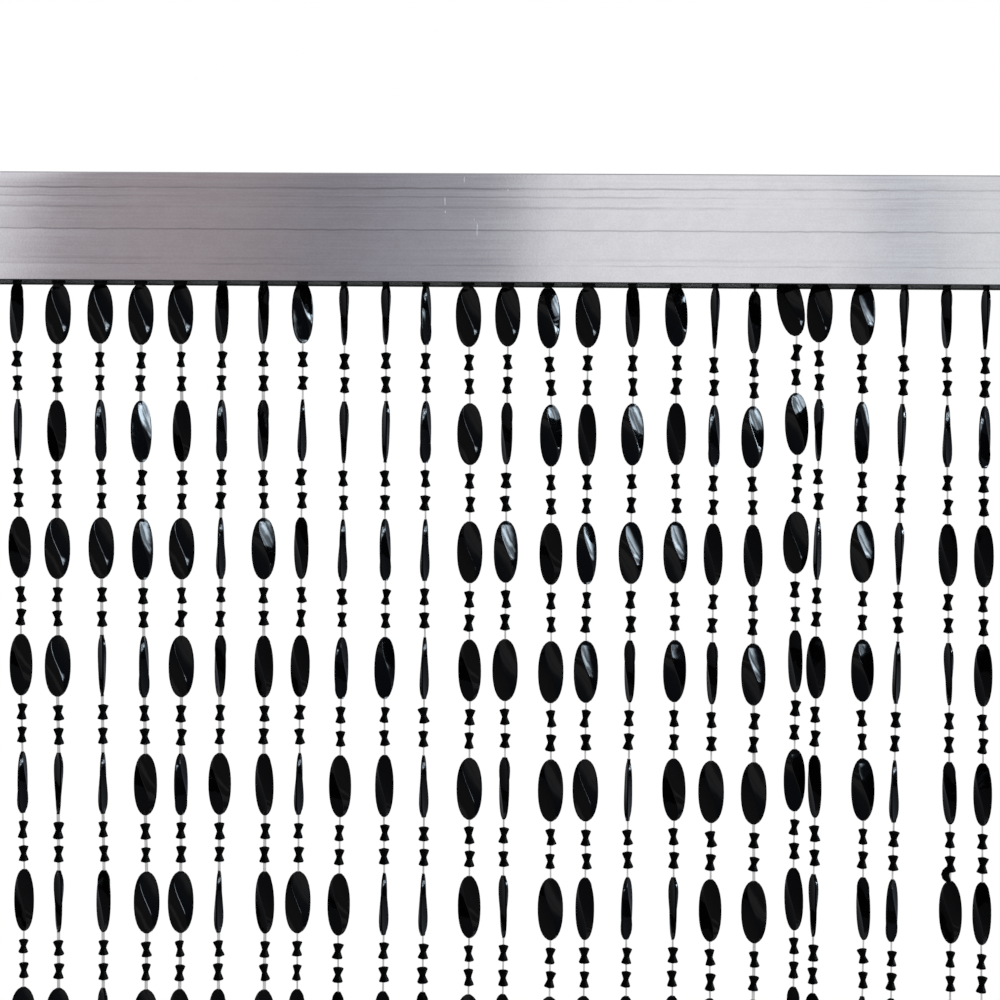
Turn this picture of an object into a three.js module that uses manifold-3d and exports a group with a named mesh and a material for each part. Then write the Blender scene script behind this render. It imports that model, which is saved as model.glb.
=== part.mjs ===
// Beaded fly curtain for a doorway: an aluminium rail, open below, and strings of black beads that
// hang from three carrier strips inside it. Millimetres, +Z up, the front faces -Y.
// The origin is the middle of the rail's back face.
import * as THREE from "three";
import { mergeVertices } from "three/addons/utils/BufferGeometryUtils.js";
import Module from "manifold-3d";

const wasm = await Module();
wasm.setup();

// Driving dimensions
const RAIL = {
  length: 900,
  height: 32,
  depth: 14,
  wall: 1.2,
  ledgeReach: 1.7,
  ledgeThick: 1.4,
  ledgeTopAboveMouth: 6,
};
const CARRIER = {
  names: ["strands_left", "strands_middle", "strands_right"],
  length: 299.2,
  gap: 0.4,
  width: 11,
  thick: 2,
  clearance: 0.3,
};
const STRAND = {
  perCarrier: 25,
  pitch: 12.15,
  beadRows: 6,
  rowPitch: 35,
  drop: 1950,
  firstRowBelowMouth: 8.8,
  rootInCarrier: 1,
  plumbAgainRow: 14,
};
const BEAD = {
  halfLength: 9.15,
  shoulder: 3.6,
  halfWidth: 3.85,
  halfThick: 1.25,
  ridgeSweep: 0.45,
};
const LINK = { half: 1.05 };
const PLAIN = { halfWidth: 2.0, halfThick: 1.27 };
const QUARTER = Math.PI / 2;

// How far each kind of bead is turned about its string, in degrees. Capitals turn the other way.
const TURNS = { w: 8, v: 30, m: 45, t: 58, n: 78 };

// One row for each strand of a carrier, from its left end. first, second and last are the strand's
// sideways places at those bead rows, raise is how much higher it hangs, and turns has a letter a row.
const HANG = [
  { first: -1.0, second: -1.0, last: -1.5, raise: 1.5, turns: "WnNMTn" },
  { first: -0.5, second: -0.5, last: 1.0, raise: 0.75, turns: "WTwVVM" },
  { first: -0.5, second: -1.0, last: -2.75, raise: 0.25, turns: "nNnNnT" },
  { first: -0.25, second: 0.25, last: 2.25, raise: 0, turns: "tNMntV" },
  { first: -1.0, second: -1.0, last: -0.75, raise: -0.25, turns: "NtMmMm" },
  { first: -0.75, second: 0, last: 3.25, raise: -0.25, turns: "tNVVtM" },
  { first: -0.5, second: -0.5, last: 1.5, raise: -0.5, turns: "WVWWnN" },
  { first: 0, second: 0.5, last: 2.75, raise: -0.25, turns: "WtWNnM" },
  { first: 0, second: 0.5, last: 3.5, raise: -0.5, turns: "WmMTVW" },
  { first: -0.25, second: 0.5, last: 1.5, raise: -0.25, turns: "WMWWTW" },
  { first: 0, second: 0.25, last: 0.75, raise: 0, turns: "tTnTVn" },
  { first: 0.25, second: 0.5, last: 2.25, raise: 0, turns: "TtwMmM" },
  { first: -0.25, second: 0, last: 0, raise: 0.25, turns: "mNMmnW" },
  { first: 0, second: 0.25, last: 0, raise: -0.25, turns: "nNnMVV" },
  { first: 0.25, second: 0.5, last: 1.25, raise: 0, turns: "NnTvMn" },
  { first: 0, second: 0.25, last: 0.75, raise: 0, turns: "tnNnNn" },
  { first: 0.5, second: 1.25, last: 2.25, raise: -0.5, turns: "WWWVWW" },
  { first: 0, second: 0, last: 0.25, raise: -0.25, turns: "WnwWTn" },
  { first: 0, second: 1.0, last: 2.0, raise: -0.75, turns: "vVVWWW" },
  { first: -0.5, second: -0.5, last: 0, raise: -0.5, turns: "WMVwWM" },
  { first: 0.5, second: 0.75, last: 0.25, raise: -0.25, turns: "MvwtNn" },
  { first: 1.25, second: 1.5, last: 1.75, raise: 0, turns: "WMWVVn" },
  { first: 0.5, second: 0.5, last: 0.5, raise: -0.5, turns: "nNMTWV" },
  { first: 0, second: -0.25, last: 1.25, raise: -0.75, turns: "MvMwWW" },
  { first: -1.5, second: 0.5, last: 0.75, raise: 3.25, turns: "WvWMmM" },
];

// Levels and lines worked out from the sizes
const MOUTH_Z = -RAIL.height / 2;
const LEDGE_TOP_Z = MOUTH_Z + RAIL.ledgeTopAboveMouth;
const CARRIER_BOTTOM_Z = LEDGE_TOP_Z + CARRIER.clearance;
const HANG_Y = -RAIL.depth / 2;
const FIRST_ROW_Z = MOUTH_Z - STRAND.firstRowBelowMouth;

const aluminium = new THREE.MeshStandardMaterial({ color: 0xb9b9bd, roughness: 0.35, metalness: 1 });
const blackGloss = new THREE.MeshStandardMaterial({ color: 0x0c0c0e, roughness: 0.12, metalness: 0 });

function namedMesh(name, geometry, material) {
  const mesh = new THREE.Mesh(geometry, material);
  mesh.name = name;
  return mesh;
}

function toSolid(geometry) {
  const bare = new THREE.BufferGeometry();
  bare.setAttribute("position", geometry.getAttribute("position").clone());
  if (geometry.index) {
    bare.setIndex(geometry.index.clone());
  }
  const merged = mergeVertices(bare, 1e-4);
  return new wasm.Manifold(
    new wasm.Mesh({
      numProp: 3,
      vertProperties: new Float32Array(merged.getAttribute("position").array),
      triVerts: new Uint32Array(merged.index.array),
    }),
  );
}

function toGeometry(solid) {
  const { vertProperties, triVerts } = solid.getMesh();
  const geometry = new THREE.BufferGeometry();
  geometry.setAttribute("position", new THREE.BufferAttribute(vertProperties, 3));
  geometry.setIndex(new THREE.BufferAttribute(triVerts, 1));
  geometry.computeVertexNormals();
  return geometry;
}

// The rail's section is drawn in Y and Z and drawn out along X. It is open at the bottom, with a
// ledge on the inside of each wall that the carriers lie on.
function railGeometry() {
  const { length, height, depth, wall, ledgeReach, ledgeThick } = RAIL;
  const top = height / 2;
  const ledgeUnder = LEDGE_TOP_Z - ledgeThick;
  const section = new THREE.Shape();
  section.moveTo(0, MOUTH_Z);
  section.lineTo(0, top);
  section.lineTo(-depth, top);
  section.lineTo(-depth, MOUTH_Z);
  section.lineTo(-depth + wall, MOUTH_Z);
  section.lineTo(-depth + wall, ledgeUnder);
  section.lineTo(-depth + wall + ledgeReach, ledgeUnder);
  section.lineTo(-depth + wall + ledgeReach, LEDGE_TOP_Z);
  section.lineTo(-depth + wall, LEDGE_TOP_Z);
  section.lineTo(-depth + wall, top - wall);
  section.lineTo(-wall, top - wall);
  section.lineTo(-wall, LEDGE_TOP_Z);
  section.lineTo(-wall - ledgeReach, LEDGE_TOP_Z);
  section.lineTo(-wall - ledgeReach, ledgeUnder);
  section.lineTo(-wall, ledgeUnder);
  section.lineTo(-wall, MOUTH_Z);
  section.closePath();
  const geometry = new THREE.ExtrudeGeometry(section, { depth: length, bevelEnabled: false });
  const alongRail = new THREE.Matrix4().makeBasis(
    new THREE.Vector3(0, 1, 0),
    new THREE.Vector3(0, 0, 1),
    new THREE.Vector3(1, 0, 0),
  );
  return geometry.applyMatrix4(alongRail).translate(-length / 2, 0, 0);
}

// Where a strand hangs at a bead row, counted from 1, beside the plumb line under its root.
function sidewaysAt(hang, row) {
  if (row <= 1) {
    return hang.first;
  }
  if (row <= 2) {
    return hang.first + (hang.second - hang.first) * (row - 1);
  }
  const reach = (row - 2) / (STRAND.beadRows - 2);
  return hang.second + (hang.last - hang.second) * reach;
}

function turnOf(letter) {
  const degrees = TURNS[letter.toLowerCase()];
  const sign = letter === letter.toLowerCase() ? 1 : -1;
  return THREE.MathUtils.degToRad(sign * degrees);
}

// The sections of one strand from its root down. Each is a four-sided ring: two edges on the bead's
// width, and a front and a back ridge, which sweep from one side to the other down the bead.
function strandSections(rootX, hang) {
  const { beadRows, rowPitch, drop, plumbAgainRow, rootInCarrier } = STRAND;
  const { halfLength, shoulder, halfWidth, halfThick, ridgeSweep } = BEAD;
  const neck = { wide: LINK.half, thick: LINK.half, ridge: 0 };
  const belly = { wide: halfWidth, thick: halfThick };
  const plain = { wide: PLAIN.halfWidth, thick: PLAIN.halfThick, ridge: 0 };
  const firstZ = FIRST_ROW_Z + hang.raise;
  const firstTurn = turnOf(hang.turns[0]);
  const sections = [
    { x: rootX, z: CARRIER_BOTTOM_Z + rootInCarrier, turn: firstTurn, ...neck },
  ];
  for (let row = 1; row <= beadRows; row += 1) {
    const x = rootX + sidewaysAt(hang, row);
    const z = firstZ - (row - 1) * rowPitch;
    const turn = turnOf(hang.turns[row - 1]);
    sections.push({ x, z: z + halfLength, turn, ...neck });
    sections.push({ x, z: z + shoulder, turn, ...belly, ridge: ridgeSweep });
    sections.push({ x, z: z - shoulder, turn, ...belly, ridge: -ridgeSweep });
    sections.push({ x, z: z - halfLength, turn, ...neck });
  }
  const lastX = rootX + hang.last;
  const plainTop = firstZ - beadRows * rowPitch + halfLength;
  const plumbAgain = firstZ - (plumbAgainRow - 1) * rowPitch;
  sections.push({ x: lastX, z: plainTop, turn: 0, ...plain });
  sections.push({ x: rootX, z: plumbAgain, turn: 0, ...plain });
  sections.push({ x: rootX, z: firstZ - drop + halfLength, turn: 0, ...plain });
  return sections;
}

// A ring's corners in order round the string, numbered so that they follow on from the ring above.
function ringCorners(section, firstCorner) {
  const { x, z, turn, wide, thick, ridge } = section;
  const corners = [
    [wide, 0],
    [ridge * wide, thick],
    [-wide, 0],
    [-ridge * wide, -thick],
  ];
  const cos = Math.cos(turn);
  const sin = Math.sin(turn);
  return corners.map((_, place) => {
    const [u, v] = corners[(((place + firstCorner) % 4) + 4) % 4];
    return [x + u * cos - v * sin, HANG_Y + u * sin + v * cos, z];
  });
}

function strandGeometry(rootX, hang) {
  const positions = [];
  const faces = [];
  let heading = turnOf(hang.turns[0]);
  const sections = strandSections(rootX, hang);
  sections.forEach((section, level) => {
    const firstCorner = Math.round((heading - section.turn) / QUARTER);
    heading = section.turn + firstCorner * QUARTER;
    positions.push(...ringCorners(section, firstCorner).flat());
    if (level === 0) {
      return;
    }
    for (let side = 0; side < 4; side += 1) {
      const above = (level - 1) * 4 + side;
      const aboveNext = (level - 1) * 4 + ((side + 1) % 4);
      const below = above + 4;
      const belowNext = aboveNext + 4;
      faces.push(above, below, belowNext, above, belowNext, aboveNext);
    }
  });
  const end = (sections.length - 1) * 4;
  faces.push(0, 1, 2, 0, 2, 3);
  faces.push(end, end + 2, end + 1, end, end + 3, end + 2);
  const geometry = new THREE.BufferGeometry();
  geometry.setAttribute("position", new THREE.Float32BufferAttribute(positions, 3));
  geometry.setIndex(faces);
  return geometry;
}

// A carrier strip with its strands fused to its underside.
function carrierGeometry(middleX) {
  const { length, width, thick } = CARRIER;
  const strip = new THREE.BoxGeometry(length, width, thick);
  strip.translate(middleX, HANG_Y, CARRIER_BOTTOM_Z + thick / 2);
  const firstX = middleX - ((STRAND.perCarrier - 1) * STRAND.pitch) / 2;
  let solid = toSolid(strip);
  HANG.forEach((hang, place) => {
    solid = solid.add(toSolid(strandGeometry(firstX + place * STRAND.pitch, hang)));
  });
  return toGeometry(solid);
}

const curtain = new THREE.Group();
curtain.add(namedMesh("rail", railGeometry(), aluminium));
CARRIER.names.forEach((name, place) => {
  const middleX = (place - (CARRIER.names.length - 1) / 2) * (CARRIER.length + CARRIER.gap);
  curtain.add(namedMesh(name, carrierGeometry(middleX), blackGloss));
});

export default curtain;
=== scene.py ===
"""Beaded fly curtain: the finish of the rail, carriers, strings and beads, and the studio round it.

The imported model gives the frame. Everything is in metres on its axes: +X runs along the rail, the
front faces -Y and +Z is up. The rail's back face holds the origin, and the strands hang to -Z.
Sizes in the classes are in millimetres, as a maker would write them, and MM turns them into metres.
"""

import logging
import math
from collections.abc import Sequence
from dataclasses import dataclass, field
from enum import Enum
from functools import reduce

import bpy
import numpy as np
from mathutils import Matrix, Vector


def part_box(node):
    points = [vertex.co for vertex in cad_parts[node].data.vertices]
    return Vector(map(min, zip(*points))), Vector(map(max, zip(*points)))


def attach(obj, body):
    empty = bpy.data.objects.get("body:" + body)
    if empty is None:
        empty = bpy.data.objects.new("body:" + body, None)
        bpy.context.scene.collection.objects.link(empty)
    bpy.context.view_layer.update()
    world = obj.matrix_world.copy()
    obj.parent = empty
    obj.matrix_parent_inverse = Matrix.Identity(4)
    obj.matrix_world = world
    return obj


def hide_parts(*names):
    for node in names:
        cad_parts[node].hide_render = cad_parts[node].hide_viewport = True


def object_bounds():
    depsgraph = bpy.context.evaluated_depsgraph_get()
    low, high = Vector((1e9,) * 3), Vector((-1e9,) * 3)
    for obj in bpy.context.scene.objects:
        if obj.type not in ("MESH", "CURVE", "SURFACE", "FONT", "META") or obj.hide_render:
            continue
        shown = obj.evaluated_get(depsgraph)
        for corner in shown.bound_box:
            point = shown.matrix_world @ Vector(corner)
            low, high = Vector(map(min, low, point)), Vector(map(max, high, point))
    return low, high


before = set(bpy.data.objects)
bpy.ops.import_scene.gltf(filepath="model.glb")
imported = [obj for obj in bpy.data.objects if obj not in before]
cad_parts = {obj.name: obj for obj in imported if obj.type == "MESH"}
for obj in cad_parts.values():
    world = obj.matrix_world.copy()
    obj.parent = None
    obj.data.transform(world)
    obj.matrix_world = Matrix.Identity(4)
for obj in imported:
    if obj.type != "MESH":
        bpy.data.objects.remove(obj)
CAD_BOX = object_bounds()

LOG = logging.getLogger("fly_curtain")
MM = 0.001
BODY = "root"
CARRIER_NODES = ("strands_left", "strands_middle", "strands_right")
SEED = 11
NOISE_MIDDLE = 0.5


class Facing(Enum):
    """How far an oval bead looks turned about its string: the chart's letter and the turn in degrees.

    Small letters face right of the camera and capitals face left.
    """

    FACE_ON = ("o", -4.0)
    FACE_RIGHT = ("w", 18.0)
    FACE_LEFT = ("W", -7.0)
    HALF_RIGHT = ("v", 28.0)
    HALF_LEFT = ("V", -29.0)
    QUARTER_RIGHT = ("m", 36.0)
    QUARTER_LEFT = ("M", -44.0)
    SLIM_RIGHT = ("t", 57.0)
    SLIM_LEFT = ("T", -58.0)
    SLIMMER_RIGHT = ("s", 67.0)
    SLIMMER_LEFT = ("S", -67.0)
    NARROW_RIGHT = ("n", 78.0)
    NARROW_LEFT = ("N", -78.0)
    EDGE_RIGHT = ("e", 87.0)
    EDGE_LEFT = ("E", -86.0)

    @classmethod
    def of(cls, letter: str) -> "Facing":
        """The facing that a letter of the hang chart stands for."""
        return next(facing for facing in cls if facing.value[0] == letter)

    @property
    def radians(self) -> float:
        """The turn in radians."""
        return math.radians(self.value[1])


class Facet(Enum):
    """What a side of an oval bead's section is: a broad leaf, the ridge's crest or the rim."""

    LEAF = "leaf"
    CREST = "crest"
    RIM = "rim"


class Side(Enum):
    """How sharp a mesh's edges look: the angle in degrees past which an edge is drawn sharp."""

    CRISP = 30.0
    ROUND = 62.0

    @property
    def radians(self) -> float:
        """The angle past which an edge is drawn sharp."""
        return math.radians(self.value)


@dataclass(frozen=True)
class Hang:
    """How one strand of a carrier hangs, by the photograph.

    first, second and last are its sideways places in mm at bead rows 1, 2 and 6, raised is how much
    higher than the others it hangs, turns has a letter a row, lean tips its first bead, in degrees,
    drop is how much lower that bead hangs than its place in the row, and doubled says that its
    string shows twice, side by side.
    """

    first: float
    second: float
    last: float
    raised: float
    turns: str
    lean: float = 0.0
    drop: float = 0.0
    doubled: bool = False


HANGS = (
    Hang(first=-1.0, second=-1.0, last=-1.5, raised=1.5, turns="oNeMTNM"),
    Hang(first=-0.5, second=-0.5, last=1.0, raised=0.75, turns="wtwvvTN"),
    Hang(first=-0.5, second=-1.0, last=-2.75, raised=0.25, turns="NENensM"),
    Hang(first=-0.25, second=0.25, last=2.25, raised=0.0, turns="SnMNTVW"),
    Hang(first=-1.0, second=-1.0, last=-0.75, raised=-0.25, turns="NsMMMMW"),
    Hang(first=-0.75, second=0.0, last=3.25, raised=-0.25, turns="TEVVsMW"),
    Hang(first=-0.5, second=-0.5, last=1.5, raised=-0.5, turns="WMoWNNW", doubled=True),
    Hang(first=0.0, second=0.5, last=2.75, raised=-0.25, turns="WsWEnTN", doubled=True),
    Hang(first=0.0, second=0.5, last=3.5, raised=-0.5, turns="WmmsVWW", doubled=True),
    Hang(first=-0.25, second=0.5, last=1.5, raised=-0.25, turns="WMoWtWV", doubled=True),
    Hang(first=0.0, second=0.25, last=0.75, raised=0.0, turns="TsnSVnM", doubled=True),
    Hang(first=0.25, second=0.5, last=2.25, raised=0.0, turns="SSwMMMV", doubled=True),
    Hang(first=-0.25, second=0.0, last=0.0, raised=0.25, turns="mnTMnWM"),
    Hang(first=0.0, second=0.25, last=0.0, raised=-0.25, turns="NNntVVT"),
    Hang(first=0.25, second=0.5, last=1.25, raised=0.0, turns="NEsmMnM"),
    Hang(first=0.0, second=0.25, last=0.75, raised=0.0, turns="ssnnnnT"),
    Hang(first=0.5, second=1.25, last=2.25, raised=-0.5, turns="ooWVWVW"),
    Hang(first=0.0, second=0.0, last=0.25, raised=-0.25, turns="oSwWSNM"),
    Hang(first=0.0, second=1.0, last=2.0, raised=-0.75, turns="vvVWWWW"),
    Hang(first=-0.5, second=-0.5, last=0.0, raised=-0.5, turns="oMmwoMV"),
    Hang(first=0.5, second=0.75, last=0.25, raised=-0.25, turns="TvwSesM"),
    Hang(first=1.25, second=1.5, last=1.75, raised=0.0, turns="vMwvVNM"),
    Hang(first=0.5, second=0.5, last=0.5, raised=-0.5, turns="NsMSWVW"),
    Hang(first=0.0, second=-0.25, last=1.25, raised=-0.75, turns="TvMwoWV", drop=1.1, doubled=True),
    Hang(first=-1.5, second=0.5, last=0.75, raised=3.25, turns="WvoTmMT", lean=-11.0),
)


@dataclass(frozen=True)
class Pattern:
    """A closed mesh about its own middle, in mm, to be copied.

    points has a row of X, Y, Z for each vertex and faces a row of three vertices for each triangle.
    """

    points: np.ndarray
    faces: np.ndarray


@dataclass(frozen=True)
class Copies:
    """Where copies of a pattern go: a 3 by 3 turning matrix and a place in mm for each."""

    matrices: np.ndarray
    places: np.ndarray

    def only(self, chosen: np.ndarray) -> "Copies":
        """The copies that a row of true and false values picks."""
        return Copies(self.matrices[chosen], self.places[chosen])


def skin_rings(rings: np.ndarray) -> Pattern:
    """Closes a stack of rings into a mesh.

    Args:
        rings: an array of rings from the top down, each with the same number of X, Y, Z points,
            counter-clockwise seen from above.

    Returns:
        The closed pattern, with its ends capped and its faces pointing out.
    """
    levels, around, _ = rings.shape
    number = np.arange(levels * around).reshape(levels, around)
    above, below = number[:-1], number[1:]
    above_next, below_next = np.roll(above, -1, axis=1), np.roll(below, -1, axis=1)
    sides = np.concatenate(
        [
            np.stack([above, below, below_next], axis=-1).reshape(-1, 3),
            np.stack([above, below_next, above_next], axis=-1).reshape(-1, 3),
        ]
    )
    fan = np.arange(1, around - 1)
    top = np.stack([np.zeros_like(fan), fan, fan + 1], axis=-1)
    foot = np.stack([np.zeros_like(fan), fan + 1, fan], axis=-1) + number[-1, 0]
    return Pattern(rings.reshape(-1, 3), np.concatenate([sides, top, foot]))


def circle(around: int) -> np.ndarray:
    """Points round a unit circle, counter-clockwise seen from above."""
    angles = np.linspace(0, 2 * math.pi, around, endpoint=False)
    return np.stack([np.cos(angles), np.sin(angles), 0 * angles], axis=-1)


def turned_form(profile: Sequence[tuple[float, float]], around: int, flat: float = 1.0) -> Pattern:
    """Makes a round form about an upright axis.

    Args:
        profile: heights and radii, from the top down.
        around: how many sides it has.
        flat: its depth from front to back as a share of its width.

    Returns:
        The form.
    """
    heights, radii = np.array(profile).T
    rings = circle(around) * radii[:, None, None] * np.array([1.0, flat, 1.0])
    rings[..., 2] = heights[:, None]
    return skin_rings(rings)


def turning(turns: np.ndarray, leans: np.ndarray, tips: np.ndarray) -> np.ndarray:
    """Matrices that turn a bead about its string and then tip it.

    Args:
        turns: turns about the string, in radians.
        leans: how far the top leans to +X, in radians.
        tips: how far the top leans to -Y, in radians.

    Returns:
        An array of 3 by 3 matrices, one for each bead.
    """
    zero, one = np.zeros_like(turns), np.ones_like(turns)

    def rows(*values: np.ndarray) -> np.ndarray:
        """Packs nine arrays into matrices."""
        return np.stack(values, axis=-1).reshape(-1, 3, 3)

    cos, sin = np.cos(turns), np.sin(turns)
    about_z = rows(cos, -sin, zero, sin, cos, zero, zero, zero, one)
    cos, sin = np.cos(leans), np.sin(leans)
    about_y = rows(cos, zero, sin, zero, one, zero, -sin, zero, cos)
    cos, sin = np.cos(tips), np.sin(tips)
    about_x = rows(one, zero, zero, zero, cos, -sin, zero, sin, cos)
    return about_x @ about_y @ about_z


def linked_object(name: str, mesh: bpy.types.Mesh, side: Side) -> bpy.types.Object:
    """Puts a mesh into the scene, smooth between its sharp edges.

    Args:
        name: the piece's name.
        mesh: its mesh.
        side: how sharp its edges look.

    Returns:
        The new object.
    """
    mesh.polygons.foreach_set("use_smooth", np.ones(len(mesh.polygons), dtype=bool))
    mesh.set_sharp_from_angle(angle=side.radians)
    piece = bpy.data.objects.new(name, mesh)
    bpy.context.scene.collection.objects.link(piece)
    return piece


def mesh_object(name: str, pattern: Pattern, side: Side) -> bpy.types.Object:
    """Makes an object of triangles.

    Args:
        name: the piece's name.
        pattern: its vertices, in mm, and triangles.
        side: how sharp its edges look.

    Returns:
        The new object, in the scene.
    """
    corners = pattern.faces.size
    mesh = bpy.data.meshes.new(name)
    mesh.vertices.add(len(pattern.points))
    mesh.vertices.foreach_set("co", (pattern.points * MM).astype(np.float32).ravel())
    mesh.loops.add(corners)
    mesh.loops.foreach_set("vertex_index", pattern.faces.astype(np.int32).ravel())
    mesh.polygons.add(len(pattern.faces))
    mesh.polygons.foreach_set("loop_start", np.arange(0, corners, 3, dtype=np.int32))
    mesh.update(calc_edges=True)
    return linked_object(name, mesh, side)


def multiplied(pattern: Pattern, copies: Copies) -> Pattern:
    """Joins many copies of a pattern into one.

    Args:
        pattern: the mesh to copy.
        copies: where the copies go.

    Returns:
        The joined mesh.
    """
    count, size = len(copies.places), len(pattern.points)
    points = np.einsum("nij,vj->nvi", copies.matrices, pattern.points) + copies.places[:, None, :]
    faces = pattern.faces[None, :, :] + (np.arange(count) * size)[:, None, None]
    return Pattern(points.reshape(-1, 3), faces.reshape(-1, 3))


def joined(patterns: Sequence[Pattern]) -> Pattern:
    """Puts meshes into one.

    Args:
        patterns: the meshes.

    Returns:
        One mesh of them all, in their order.
    """
    starts = np.cumsum([0, *(len(pattern.points) for pattern in patterns)])
    faces = [pattern.faces + start for pattern, start in zip(patterns, starts)]
    return Pattern(np.concatenate([pattern.points for pattern in patterns]), np.concatenate(faces))


def fit_piece(
    piece: bpy.types.Object, material: bpy.types.Material, node: str | None = None
) -> bpy.types.Object:
    """Gives a piece its material and its place in the frame.

    Args:
        piece: the piece.
        material: its material.
        node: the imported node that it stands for, if any.

    Returns:
        The same piece.
    """
    piece.data.materials.clear()
    piece.data.materials.append(material)
    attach(piece, BODY)
    if node is not None:
        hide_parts(node)
    LOG.info("%s: %d triangles", piece.name, len(piece.data.polygons))
    return piece


@dataclass(frozen=True)
class NodeBench:
    """A material's node tree, with short calls that add nodes and join them."""

    tree: bpy.types.NodeTree

    @classmethod
    def for_material(cls, name: str) -> tuple["NodeBench", bpy.types.Material, bpy.types.Node]:
        """Starts a material.

        Args:
            name: the material's name.

        Returns:
            The bench, the material and its Principled shader.
        """
        material = bpy.data.materials.new(name)
        material.use_nodes = True
        bench = cls(material.node_tree)
        return bench, material, material.node_tree.nodes["Principled BSDF"]

    def add(self, kind: str, **settings: object) -> bpy.types.Node:
        """Adds a node.

        Args:
            kind: its type.
            settings: values for its own properties.

        Returns:
            The node.
        """
        node = self.tree.nodes.new(kind)
        for name, value in settings.items():
            setattr(node, name, value)
        return node

    def join(self, source: bpy.types.NodeSocket, target: bpy.types.NodeSocket) -> None:
        """Links one socket to another."""
        self.tree.links.new(source, target)

    def feed(self, target: bpy.types.NodeSocket, value: object) -> None:
        """Gives an input a value.

        Args:
            target: the input.
            value: a socket to link to it, or its own number, direction or colour of three numbers.
        """
        if isinstance(value, bpy.types.NodeSocket):
            self.join(value, target)
        else:
            target.default_value = (*value, 1.0) if target.type == "RGBA" else value

    def calc(
        self, operation: str, first: object, second: object = None, third: object = None
    ) -> bpy.types.NodeSocket:
        """Adds a Math node.

        Args:
            operation: the Math node's operation.
            first: a socket or a number.
            second: a socket, a number or nothing.
            third: a socket, a number or nothing.

        Returns:
            The result's socket.
        """
        node = self.add("ShaderNodeMath", operation=operation)
        for target, value in zip(node.inputs, (first, second, third)):
            if value is not None:
                self.feed(target, value)
        return node.outputs[0]

    def gathered(
        self, operation: str, values: Sequence[bpy.types.NodeSocket]
    ) -> bpy.types.NodeSocket:
        """Makes one value of many by a Math operation."""
        return reduce(lambda first, second: self.calc(operation, first, second), values)

    def away(self, value: bpy.types.NodeSocket, middle: float) -> bpy.types.NodeSocket:
        """How far a value is from a number, either way."""
        return self.calc("ABSOLUTE", self.calc("SUBTRACT", value, middle))

    def about_zero(self, noise: bpy.types.NodeSocket) -> bpy.types.NodeSocket:
        """Noise that swings about 0, from noise that swings about its own middle."""
        return self.calc("SUBTRACT", noise, NOISE_MIDDLE)

    def ranged(
        self, value: bpy.types.NodeSocket, low: float, high: float, start: float, end: float
    ) -> bpy.types.NodeSocket:
        """Maps a value onto another range, smoothly and clamped.

        Args:
            value: the value.
            low: where its range starts.
            high: where its range ends.
            start: the result at low and beyond.
            end: the result at high and beyond.

        Returns:
            The result's socket.
        """
        node = self.add("ShaderNodeMapRange", interpolation_type="SMOOTHSTEP")
        self.join(value, node.inputs["Value"])
        names = ("From Min", "From Max", "To Min", "To Max")
        for name, number in zip(names, (low, high, start, end)):
            node.inputs[name].default_value = number
        return node.outputs["Result"]

    def within(
        self, value: bpy.types.NodeSocket, low: float, high: float, low_soft: float, high_soft: float
    ) -> bpy.types.NodeSocket:
        """Tells whether a value is between two limits, with soft edges.

        Args:
            value: the value.
            low: its lower limit.
            high: its upper limit.
            low_soft: half the width of the lower edge.
            high_soft: half the width of the upper edge.

        Returns:
            1 between the limits and 0 outside them.
        """
        return self.calc(
            "MULTIPLY",
            self.ranged(value, low - low_soft, low + low_soft, 0.0, 1.0),
            self.ranged(value, high - high_soft, high + high_soft, 1.0, 0.0),
        )

    def axes(self, kind: str) -> tuple[bpy.types.NodeSocket, ...]:
        """Takes texture coordinates apart.

        Args:
            kind: the name of the coordinates.

        Returns:
            Their X, Y and Z.
        """
        where, parts = self.add("ShaderNodeTexCoord"), self.add("ShaderNodeSeparateXYZ")
        self.join(where.outputs[kind], parts.inputs["Vector"])
        return tuple(parts.outputs)

    def noise(
        self, stretch: Sequence[float], scale: float, detail: float = 2.0, rough: float = 0.5,
        kind: str = "Object",
    ) -> bpy.types.NodeSocket:
        """Adds noise.

        Args:
            stretch: how much finer the noise is along X, Y and Z.
            scale: the noise's scale, in cells for each unit of the coordinates.
            detail: how many finer layers it has.
            rough: how strong they are.
            kind: the texture coordinates that it lies on.

        Returns:
            The noise's value.
        """
        where = self.add("ShaderNodeTexCoord")
        mapping = self.add("ShaderNodeMapping")
        mapping.inputs["Scale"].default_value = stretch
        self.join(where.outputs[kind], mapping.inputs["Vector"])
        noise = self.add("ShaderNodeTexNoise")
        noise.inputs["Scale"].default_value = scale
        noise.inputs["Detail"].default_value = detail
        noise.inputs["Roughness"].default_value = rough
        self.join(mapping.outputs["Vector"], noise.inputs["Vector"])
        return noise.outputs["Fac"]

    def blend(
        self, factor: bpy.types.NodeSocket, low: object, high: object, blend_type: str = "MIX"
    ) -> bpy.types.NodeSocket:
        """Mixes two colours.

        Args:
            factor: how much of the second there is.
            low: the first colour, a socket or three numbers.
            high: the second colour, a socket or three numbers.
            blend_type: the Mix node's way of mixing.

        Returns:
            The mixed colour's socket.
        """
        mix = self.add("ShaderNodeMix", data_type="RGBA", blend_type=blend_type)
        self.join(factor, mix.inputs["Factor"])
        self.feed(mix.inputs["A"], low)
        self.feed(mix.inputs["B"], high)
        return mix.outputs["Result"]

    def scaled(self, colour: object, factor: bpy.types.NodeSocket) -> bpy.types.NodeSocket:
        """Makes a colour brighter or darker.

        Args:
            colour: the colour, a socket or three numbers.
            factor: how many times brighter.

        Returns:
            The result's socket.
        """
        scale = self.add("ShaderNodeVectorMath", operation="SCALE")
        self.feed(scale.inputs[0], colour)
        self.join(factor, scale.inputs["Scale"])
        return scale.outputs["Vector"]

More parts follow.
